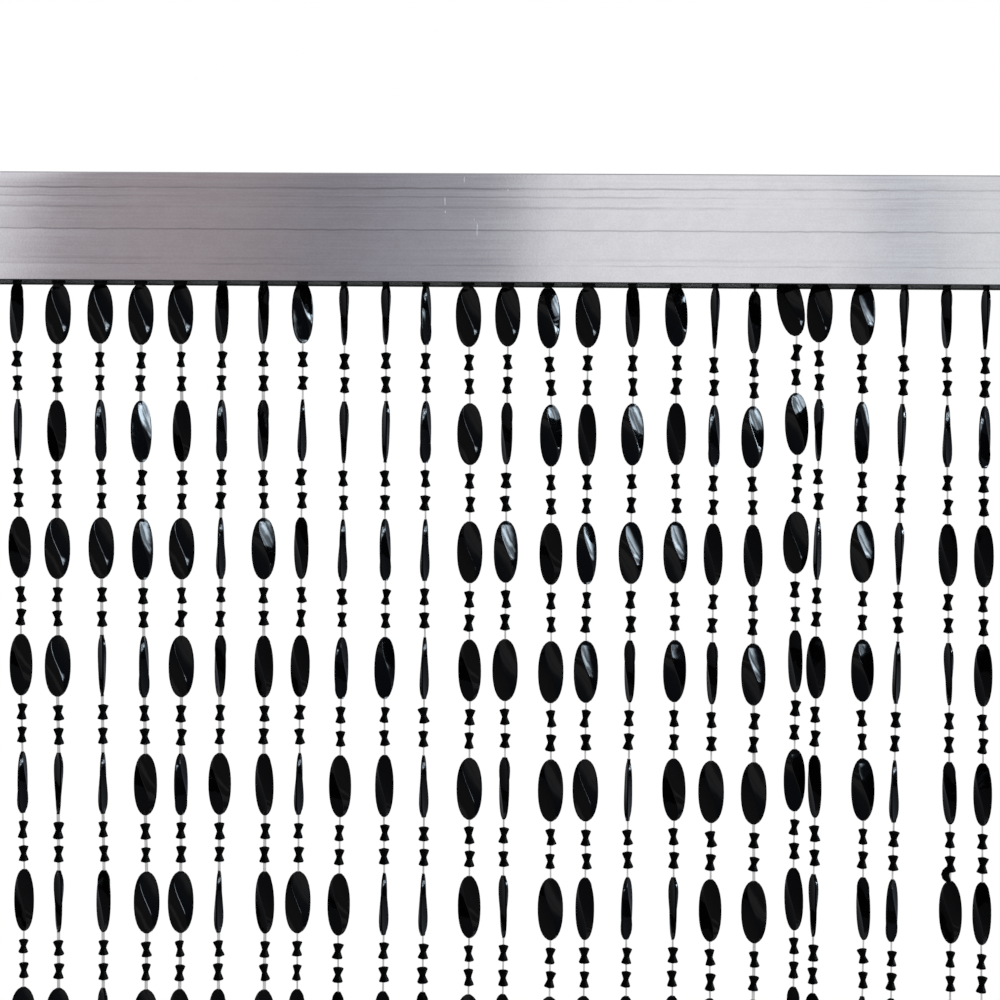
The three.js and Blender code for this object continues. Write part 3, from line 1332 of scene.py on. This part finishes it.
@dataclass
class SpacerBead:
    """The waisted spacer bead: two flared ends, a narrow waist and a nub where the string goes in.

    Sizes are in mm. lips has how far below the end each ring is and its radius as a share of flare,
    and neck the same as a share of waist. The along_link fields are shares of the string between
    two oval beads. Single beads are off their place by scatter, tipped by wobble, in degrees, and
    as unequal in size as that field says, each as a standard deviation.
    """

    half_height: float = 2.26
    flare: float = 1.54
    waist: float = 0.82
    nub: float = 0.30
    nub_reach: float = 0.22
    lips: tuple[tuple[float, float], ...] = ((0.0, 0.68), (0.08, 0.90), (0.30, 1.0), (0.9, 0.86))
    neck: tuple[float, float] = (1.6, 1.25)
    plain_lip: float = 0.05
    fine_sides: int = 10
    plain_sides: int = 6
    first_along_link: float = 0.284
    second_along_link: float = 0.704
    last_link: float = 9.7
    scatter: float = 0.10
    wobble: float = 3.5
    unequal: float = 0.045

    def pattern(self, fine: bool) -> Pattern:
        """Builds the bead.

        Args:
            fine: whether it has rounded lips and nubs.

        Returns:
            The bead's mesh about its middle.
        """
        top = self.half_height
        half = [(top - self.plain_lip, self.flare)]
        if fine:
            half = [
                (top + self.nub_reach, self.nub),
                *((top - drop, self.flare * share) for drop, share in self.lips),
                (top - self.neck[0], self.waist * self.neck[1]),
            ]
        profile = [*half, (0.0, self.waist), *((-z, radius) for z, radius in reversed(half))]
        return turned_form(profile, self.fine_sides if fine else self.plain_sides)

    def copies(self, plan: HangPlan) -> Copies:
        """Where all the spacer beads go, two under each oval bead.

        Args:
            plan: where the oval beads hang.

        Returns:
            The copies, the two of each oval bead together.
        """
        draw = np.random.default_rng(SEED + 1)
        upper, lower = plan.ends()
        foot = lower[:, -1:, :] - np.array([0.0, 0.0, self.last_link])
        link = np.concatenate([upper[:, 1:, :], foot], axis=1) - lower
        along = np.array([self.first_along_link, self.second_along_link])
        places = lower[:, :, None, :] + link[:, :, None, :] * along[None, None, :, None]
        places = places.reshape(-1, 3)
        count = len(places)
        places = places + draw.normal(0, self.scatter, (count, 3))
        leans = np.radians(draw.normal(0, self.wobble, count))
        tips = np.radians(draw.normal(0, self.wobble, count))
        matrices = turning(draw.uniform(0, math.pi, count), leans, tips)
        stretch = draw.normal(1.0, self.unequal, (count, 1, 3))
        return Copies(matrices * stretch, places)

    def pairs(self, ovals: np.ndarray) -> np.ndarray:
        """Picks the spacer beads under oval beads: two under each, and one under a strand's last.

        Args:
            ovals: true for each chosen oval bead.

        Returns:
            True for each spacer bead that is picked.
        """
        doubled = np.repeat(ovals[:, :, None], 2, axis=2)
        doubled[:, -1, 1] = False
        return doubled.ravel()

    def build(self, plan: HangPlan, finishes: Finishes) -> None:
        """Builds all the spacer beads.

        Args:
            plan: where the oval beads hang.
            finishes: the curtain's materials.
        """
        copies, close = self.copies(plan), plan.close_up()
        fine = multiplied(self.pattern(fine=True), copies.only(self.pairs(close)))
        piece = mesh_object("spacers_close", fine, Side.ROUND)
        fit_piece(piece, finishes.spacer)
        plain = self.pattern(fine=False)
        for carrier, node in enumerate(CARRIER_NODES):
            chosen = copies.only(self.pairs(plan.of_carrier(carrier) & ~close))
            name = node.replace("strands", "spacers")
            piece = mesh_object(name, multiplied(plain, chosen), Side.CRISP)
            fit_piece(piece, finishes.spacer)


@dataclass
class Strings:
    """The nylon strings, each from its hole in the carrier to a knot under the last spacer bead.

    Sizes are in mm. doubled is the radius of a string that shows twice, and uneven the share by
    which a string's radius swings. knot_steps are shares of the knot's height.
    """

    radius: float = 0.28
    doubled: float = 0.50
    uneven: float = 0.10
    around: int = 5
    link_below_last: float = 5.3
    knot_radius: float = 0.75
    knot_height: float = 1.1
    knot_steps: tuple[float, ...] = (0.0, 0.3, 0.7, 1.0)

    def route(self, plan: HangPlan, strand: int) -> np.ndarray:
        """The points that one string runs through, from the carrier down.

        Args:
            plan: where the beads hang.
            strand: the strand's number.

        Returns:
            X, Y, Z points from the top down.
        """
        middles = plan.places()[strand]
        upper, lower = (ends[strand, : plan.charted_rows] for ends in plan.ends())
        hole = np.array([[plan.root_x[strand], plan.middle_y, plan.under_carrier]])
        charted = np.stack([upper, lower], axis=1).reshape(-1, 3)
        foot = middles[-1] - np.array([0.0, 0.0, plan.half_length + self.link_below_last])
        knot = foot - np.outer(self.knot_steps, (0.0, 0.0, self.knot_height))
        return np.concatenate([hole, charted, middles[plan.charted_rows :], knot])

    def tube(self, route: np.ndarray, radius: float, draw: np.random.Generator) -> Pattern:
        """A thin tube along a route, a little uneven, with a knot at its foot.

        Args:
            route: the points that it runs through, from the top down.
            radius: its mean radius, in mm.
            draw: the source of its unevenness.

        Returns:
            The tube.
        """
        wide = radius * (1 + draw.uniform(-self.uneven, self.uneven, len(route)))
        knot = (self.radius, self.knot_radius, self.knot_radius, self.radius)
        wide[-len(knot) :] = knot
        return skin_rings(route[:, None, :] + circle(self.around) * wide[:, None, None])

    def build(self, plan: HangPlan, finishes: Finishes) -> None:
        """Builds the strings of each carrier as one piece.

        Args:
            plan: where the beads hang.
            finishes: the curtain's materials.
        """
        draw = np.random.default_rng(SEED + 2)
        for carrier, node in enumerate(CARRIER_NODES):
            tubes = []
            for place, hang in enumerate(HANGS):
                route = self.route(plan, carrier * len(HANGS) + place)
                tubes.append(self.tube(route, self.doubled if hang.doubled else self.radius, draw))
            piece = mesh_object(node.replace("strands", "strings"), joined(tubes), Side.ROUND)
            fit_piece(piece, finishes.string)


@dataclass
class Carrier:
    """A black plastic strip on the rail's ledges, with a tapered boss under it for each string.

    Sizes are in mm. boss_flat is a boss's depth as a share of its width, and boss_taper has the
    heights of its rings as shares of its length.
    """

    length: float = 299.2
    width: float = 11.0
    thick: float = 2.0
    edge: float = 0.3
    boss_radius: float = 2.15
    boss_swell: float = 1.05
    boss_foot: float = 1.95
    boss_end: float = 1.5
    boss_taper: tuple[float, ...] = (0.0, -0.6, -0.93, -1.0)
    boss_flat: float = 0.52
    boss_neck: float = 0.42
    boss_overlap: float = 1.0
    longest_boss: float = 6.9
    boss_around: int = 10

    def strip(self, middle: Vector) -> Pattern:
        """The strip with its long edges eased.

        Args:
            middle: its middle, in mm.

        Returns:
            The strip, skinned over its two ends.
        """
        w, t, e = self.width / 2, self.thick / 2, self.edge
        outline = [
            (w, t - e), (w - e, t), (-w + e, t), (-w, t - e),
            (-w, -t + e), (-w + e, -t), (w - e, -t), (w, -t + e),
        ]
        ends = (self.length / 2, -self.length / 2)
        rings = np.array([[(x, y, z) for y, z in reversed(outline)] for x in ends])
        pattern = skin_rings(rings)
        return Pattern(pattern.points + np.array(middle), pattern.faces[:, ::-1])

    def boss(self) -> Pattern:
        """A boss of height 1 under the middle of its top: a flat cone down to the first bead."""
        radii = (self.boss_radius, self.boss_foot * self.boss_swell, self.boss_foot, self.boss_end)
        return turned_form(list(zip(self.boss_taper, radii)), self.boss_around, self.boss_flat)

    def neck(self) -> Pattern:
        """A straight neck of height 1, down to a bead that hangs lower than the longest boss."""
        ends = ((0.0, self.boss_neck), (-1.0, self.boss_neck))
        return turned_form(ends, self.boss_around, self.boss_flat)

    def bosses(self, plan: HangPlan, carrier: int) -> Pattern:
        """The bosses of one carrier, each as long as its strand hangs low.

        Args:
            plan: where the strands hang.
            carrier: the carrier's number.

        Returns:
            All its bosses and necks as one mesh.
        """
        chosen = plan.strands_of(carrier)
        tops = plan.ends()[0][chosen, 0]
        full = plan.under_carrier - tops[:, 2] + self.boss_overlap
        holes = np.full_like(full, plan.under_carrier)
        places = np.stack([tops[:, 0], tops[:, 1], holes], axis=-1)
        stretch = turning(plan.turn[chosen, 0], 0 * full, 0 * full)
        meshes = []
        for form, reach in ((self.boss(), np.minimum(full, self.longest_boss)), (self.neck(), full)):
            stretch[:, 2, 2] = reach
            meshes.append(multiplied(form, Copies(stretch, places)))
        return joined(meshes)

    def build(self, plan: HangPlan, finishes: Finishes) -> None:
        """Builds the three carriers.

        Args:
            plan: where the strands hang.
            finishes: the curtain's materials.
        """
        middle_z = plan.under_carrier + self.thick / 2
        for carrier, node in enumerate(CARRIER_NODES):
            middle = Vector((plan.carrier_middle(carrier), plan.middle_y, middle_z))
            whole = joined([self.strip(middle), self.bosses(plan, carrier)])
            piece = mesh_object(node.replace("strands", "carrier"), whole, Side.CRISP)
            fit_piece(piece, finishes.carrier)


@dataclass
class TornCollar:
    """A torn collar that hangs on the string over one oval bead: a curved blade with rounded edges.

    The bends have its middle beside and above the oval's top and half its width there, in mm.
    forward is how far it hangs before the string.
    """

    strand: int = 53
    row: int = 6
    forward: float = 0.35
    half_thick: float = 0.42
    around: int = 10
    bends: tuple[tuple[float, float, float], ...] = (
        (-0.25, 4.35, 0.45),
        (-0.75, 3.55, 0.95),
        (-1.30, 2.75, 1.18),
        (-1.55, 1.95, 1.25),
        (-1.35, 1.15, 1.15),
        (-0.80, 0.45, 0.90),
        (-0.20, -0.05, 0.50),
    )

    def build(self, plan: HangPlan, finishes: Finishes) -> None:
        """Builds the blade.

        Args:
            plan: where the beads hang.
            finishes: the curtain's materials.
        """
        top = plan.ends()[0][self.strand, self.row - 1]
        beside, above, half_width = np.array(self.bends).T
        ahead = np.full_like(beside, -self.forward)
        centres = top + np.stack([beside, ahead, above], axis=-1)
        along = np.gradient(centres, axis=0)
        along /= np.linalg.norm(along, axis=-1, keepdims=True)
        back = np.array([0.0, 1.0, 0.0])
        aside = np.cross(along, back)
        ring = circle(self.around)[None]
        spread = aside[:, None, :] * ring[..., :1] * half_width[:, None, None]
        depth = back * ring[..., 1:2] * self.half_thick
        blade = skin_rings(centres[:, None, :] + spread - depth)
        fit_piece(mesh_object("torn_collar", blade, Side.ROUND), finishes.spacer)


@dataclass(frozen=True)
class SoftBox:
    """A soft studio light that faces a point. Nothing mirrors it, and it doesn't show in strings."""

    name: str
    place: tuple[float, float, float]
    aim: tuple[float, float, float]
    size: tuple[float, float]
    power: float

    def build(self) -> bpy.types.Object:
        """Hangs the light.

        Returns:
            The light.
        """
        data = bpy.data.lights.new(self.name, "AREA")
        data.shape = "RECTANGLE"
        data.size, data.size_y = self.size
        data.energy = self.power
        light = bpy.data.objects.new(self.name, data)
        bpy.context.scene.collection.objects.link(light)
        light.location = self.place
        light.rotation_mode = "QUATERNION"
        light.rotation_quaternion = (Vector(self.aim) - Vector(self.place)).to_track_quat("-Z", "Y")
        light.visible_camera = False
        light.visible_glossy = False
        light.visible_transmission = False
        return light


@dataclass(frozen=True)
class Shot:
    """The photograph's camera: close to the rail, level, and turned a little to the left."""

    x: float = 0.0760
    y: float = -0.607
    z: float = -0.0831
    yaw: float = 1.63
    pitch: float = 0.32
    roll: float = 0.51
    field_of_view: float = 27.72

    def build(self) -> bpy.types.Object:
        """Sets up the camera.

        Returns:
            The camera.
        """
        data = bpy.data.cameras.new("photo_camera")
        data.sensor_fit = "AUTO"
        data.angle = math.radians(self.field_of_view)
        data.clip_start, data.clip_end = 0.01, 100.0
        camera = bpy.data.objects.new("photo_camera", data)
        bpy.context.scene.collection.objects.link(camera)
        turned = (
            Matrix.Rotation(math.radians(self.yaw), 4, "Z")
            @ Matrix.Rotation(math.radians(90.0 + self.pitch), 4, "X")
            @ Matrix.Rotation(math.radians(self.roll), 4, "Z")
        )
        camera.matrix_world = Matrix.Translation((self.x, self.y, self.z)) @ turned
        bpy.context.scene.camera = camera
        return camera


@dataclass(frozen=True)
class RoomTone:
    """The room in front as the rail mirrors it, at an angle in degrees right of straight back."""

    angle: float
    colour: tuple[float, float, float]


ROOM_TONES = (
    RoomTone(angle=-90.0, colour=(0.13, 0.135, 0.15)),
    RoomTone(angle=-60.0, colour=(0.20, 0.21, 0.23)),
    RoomTone(angle=-30.0, colour=(0.34, 0.34, 0.36)),
    RoomTone(angle=-21.0, colour=(0.30, 0.30, 0.31)),
    RoomTone(angle=-18.5, colour=(0.95, 0.94, 0.98)),
    RoomTone(angle=-16.0, colour=(0.82, 0.80, 0.84)),
    RoomTone(angle=-14.2, colour=(0.355, 0.325, 0.345)),
    RoomTone(angle=-12.0, colour=(0.365, 0.325, 0.345)),
    RoomTone(angle=-9.5, colour=(0.345, 0.305, 0.315)),
    RoomTone(angle=-6.5, colour=(0.255, 0.245, 0.275)),
    RoomTone(angle=-4.5, colour=(0.31, 0.30, 0.335)),
    RoomTone(angle=-1.5, colour=(0.39, 0.39, 0.43)),
    RoomTone(angle=-0.5, colour=(0.80, 0.80, 0.83)),
    RoomTone(angle=3.0, colour=(0.86, 0.86, 0.88)),
    RoomTone(angle=8.0, colour=(0.84, 0.84, 0.86)),
    RoomTone(angle=9.4, colour=(0.58, 0.60, 0.66)),
    RoomTone(angle=10.4, colour=(0.62, 0.64, 0.68)),
    RoomTone(angle=12.0, colour=(0.86, 0.87, 0.88)),
    RoomTone(angle=20.0, colour=(0.24, 0.26, 0.30)),
    RoomTone(angle=34.0, colour=(0.16, 0.18, 0.23)),
    RoomTone(angle=60.0, colour=(0.10, 0.12, 0.16)),
    RoomTone(angle=90.0, colour=(0.11, 0.125, 0.15)),
)


@dataclass(frozen=True)
class WindowGlow:
    """A bright window of the room: its sides in degrees right of straight back, its foot and head.

    soft is the width of its edges in degrees, and strength its brightness beside the white
    backdrop.
    """

    left: float
    right: float
    foot: float
    head: float
    soft: float
    strength: float
    colour: tuple[float, float, float]


WINDOWS = (
    WindowGlow(
        left=53.0, right=114.0, foot=4.5, head=17.5, soft=6.0, strength=62.0,
        colour=(0.72, 0.87, 1.0),
    ),
    WindowGlow(
        left=46.0, right=76.0, foot=18.0, head=29.0, soft=3.0, strength=24.0,
        colour=(0.80, 0.90, 1.0),
    ),
)


@dataclass(frozen=True)
class Studio:
    """The floor, the lights, the white backdrop, the room in reflections and the camera.

    Lengths are in metres. fade_rise and ceiling_rise are the heights over the horizon, in degrees,
    between which the room's tones dim to faded and the ceiling takes their place. leaf_edge is the
    range of the noise that breaks up the windows' light, and leaf_light what it lets through.
    """

    foot_z: float
    middle_x: float = 0.06
    floor_gap: float = 0.03
    floor_radius: float = 2.6
    floor_sides: int = 96
    white: tuple[float, float, float] = (1.0, 1.0, 1.0)
    ceiling: tuple[float, float, float] = (0.40, 0.40, 0.42)
    ceiling_rise: tuple[float, float] = (34.0, 48.0)
    fade_rise: tuple[float, float] = (30.0, 60.0)
    faded: float = 0.18
    leaf_scale: float = 9.0
    leaf_detail: float = 3.0
    leaf_edge: tuple[float, float] = (0.40, 0.66)
    leaf_light: tuple[float, float] = (0.12, 1.0)

    def room(self, bench: NodeBench, angle: bpy.types.NodeSocket) -> bpy.types.NodeSocket:
        """The room's tones round the horizon.

        Args:
            bench: the surroundings' nodes.
            angle: the direction's angle to the right of straight back, in radians.

        Returns:
            A colour.
        """
        half_turn = bench.calc("MULTIPLY_ADD", angle, 1.0 / math.pi, 0.5)
        ramp = bench.add("ShaderNodeValToRGB")
        stops = ramp.color_ramp.elements
        stops.remove(stops[-1])
        for place, tone in enumerate(ROOM_TONES):
            stop = stops.new(tone.angle / 180.0 + 0.5) if place else stops[0]
            stop.color = (*tone.colour, 1.0)
        bench.join(half_turn, ramp.inputs["Fac"])
        return ramp.outputs["Color"]

    def window(
        self, bench: NodeBench, window: WindowGlow, angle: bpy.types.NodeSocket,
        height: bpy.types.NodeSocket, broken: bpy.types.NodeSocket,
    ) -> bpy.types.NodeSocket:
        """One window's light.

        Args:
            bench: the surroundings' nodes.
            window: the window.
            angle: the direction's angle to the right of straight back, in radians.
            height: the direction's height over the horizon, in radians.
            broken: how much of the light comes through, from 0 to 1.

        Returns:
            A colour.
        """
        soft = math.radians(window.soft)
        left, right = math.radians(window.left), math.radians(window.right)
        foot, head = math.radians(window.foot), math.radians(window.head)
        across = bench.within(angle, left, right, soft, soft)
        upright = bench.within(height, foot, head, soft * 0.5, soft)
        glow = bench.gathered("MULTIPLY", (across, upright, broken))
        return bench.scaled(window.colour, bench.calc("MULTIPLY", glow, window.strength))

    def world(self) -> None:
        """Makes the surroundings.

        They are plain white to the eye and through the strings. Reflections show a room with
        windows and a pale ceiling.
        """
        world = bpy.data.worlds.new("studio")
        bpy.context.scene.world = world
        world.use_nodes = True
        bench = NodeBench(world.node_tree)
        x, y, z = bench.axes("Generated")
        angle = bench.calc("ARCTAN2", x, bench.calc("MULTIPLY", y, -1.0))
        height = bench.calc("ARCSINE", z)
        leaves = bench.noise((1, 1, 1), self.leaf_scale, detail=self.leaf_detail, kind="Generated")
        broken = bench.ranged(leaves, *self.leaf_edge, *self.leaf_light)
        fade = bench.ranged(height, *map(math.radians, self.fade_rise), 1.0, self.faded)
        rise = bench.ranged(height, *map(math.radians, self.ceiling_rise), 0.0, 1.0)
        light = bench.blend(rise, bench.scaled(self.room(bench, angle), fade), self.ceiling)
        for window in WINDOWS:
            add = bench.add("ShaderNodeVectorMath", operation="ADD")
            bench.join(light, add.inputs[0])
            bench.join(self.window(bench, window, angle, height, broken), add.inputs[1])
            light = add.outputs["Vector"]
        rays = bench.add("ShaderNodeLightPath").outputs
        seen = bench.calc("MAXIMUM", rays["Is Camera Ray"], rays["Is Transmission Ray"])
        shown = bench.blend(seen, light, self.white)
        bench.join(shown, world.node_tree.nodes["Background"].inputs["Color"])

    def floor(self) -> bpy.types.Object:
        """Lays a round pale floor under the curtain.

        Returns:
            The floor.
        """
        bpy.ops.mesh.primitive_circle_add(
            vertices=self.floor_sides, radius=self.floor_radius, fill_type="NGON",
            location=(0.0, 0.0, self.foot_z - self.floor_gap),
        )
        floor = bpy.context.object
        floor.name = "studio_floor"
        floor.data.materials.append(PaleFloor().material())
        return floor

    def lights(self) -> None:
        """Hangs the soft lights round the photographed stretch."""
        x = self.middle_x
        lights = (
            SoftBox("ceiling", place=(x, -0.8, 2.4), aim=(x, -0.8, -2.0), size=(2.4, 1.6), power=70.0),
            SoftBox("behind", place=(x, 2.2, 0.6), aim=(x, 0.0, -0.4), size=(2.0, 1.6), power=60.0),
        )
        for light in lights:
            light.build()

    def build(self) -> None:
        """Sets up the whole studio."""
        self.world()
        self.floor()
        self.lights()
        Shot().build()
        settings = bpy.context.scene.view_settings
        settings.view_transform = "Standard"
        settings.look = "None"


@dataclass
class FlyCurtain:
    """The whole curtain, built from the rail down."""

    finishes: Finishes
    carrier_above_mouth: float = 6.3

    def build(self) -> None:
        """Builds each sub-assembly in the frame's places."""
        low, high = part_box("rail")
        mouth, oval = low.z / MM, OvalBead()
        plan = HangPlan(
            rail_mouth=mouth,
            middle_y=(low.y + high.y) / 2 / MM,
            under_carrier=mouth + self.carrier_above_mouth,
            half_length=oval.half_length,
        )
        Rail(low, high).build(self.finishes)
        for maker in (Carrier(), oval, TornCollar(), SpacerBead(), Strings()):
            maker.build(plan, self.finishes)


def main() -> None:
    """Builds the curtain and its studio."""
    logging.basicConfig(level=logging.INFO, format="%(name)s: %(message)s")
    low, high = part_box("rail")
    finishes = Finishes.make(rail_top=high.z, rail_mouth=low.z)
    FlyCurtain(finishes).build()
    Studio(foot_z=CAD_BOX[0].z).build()


if __name__ == "__main__":
    main()
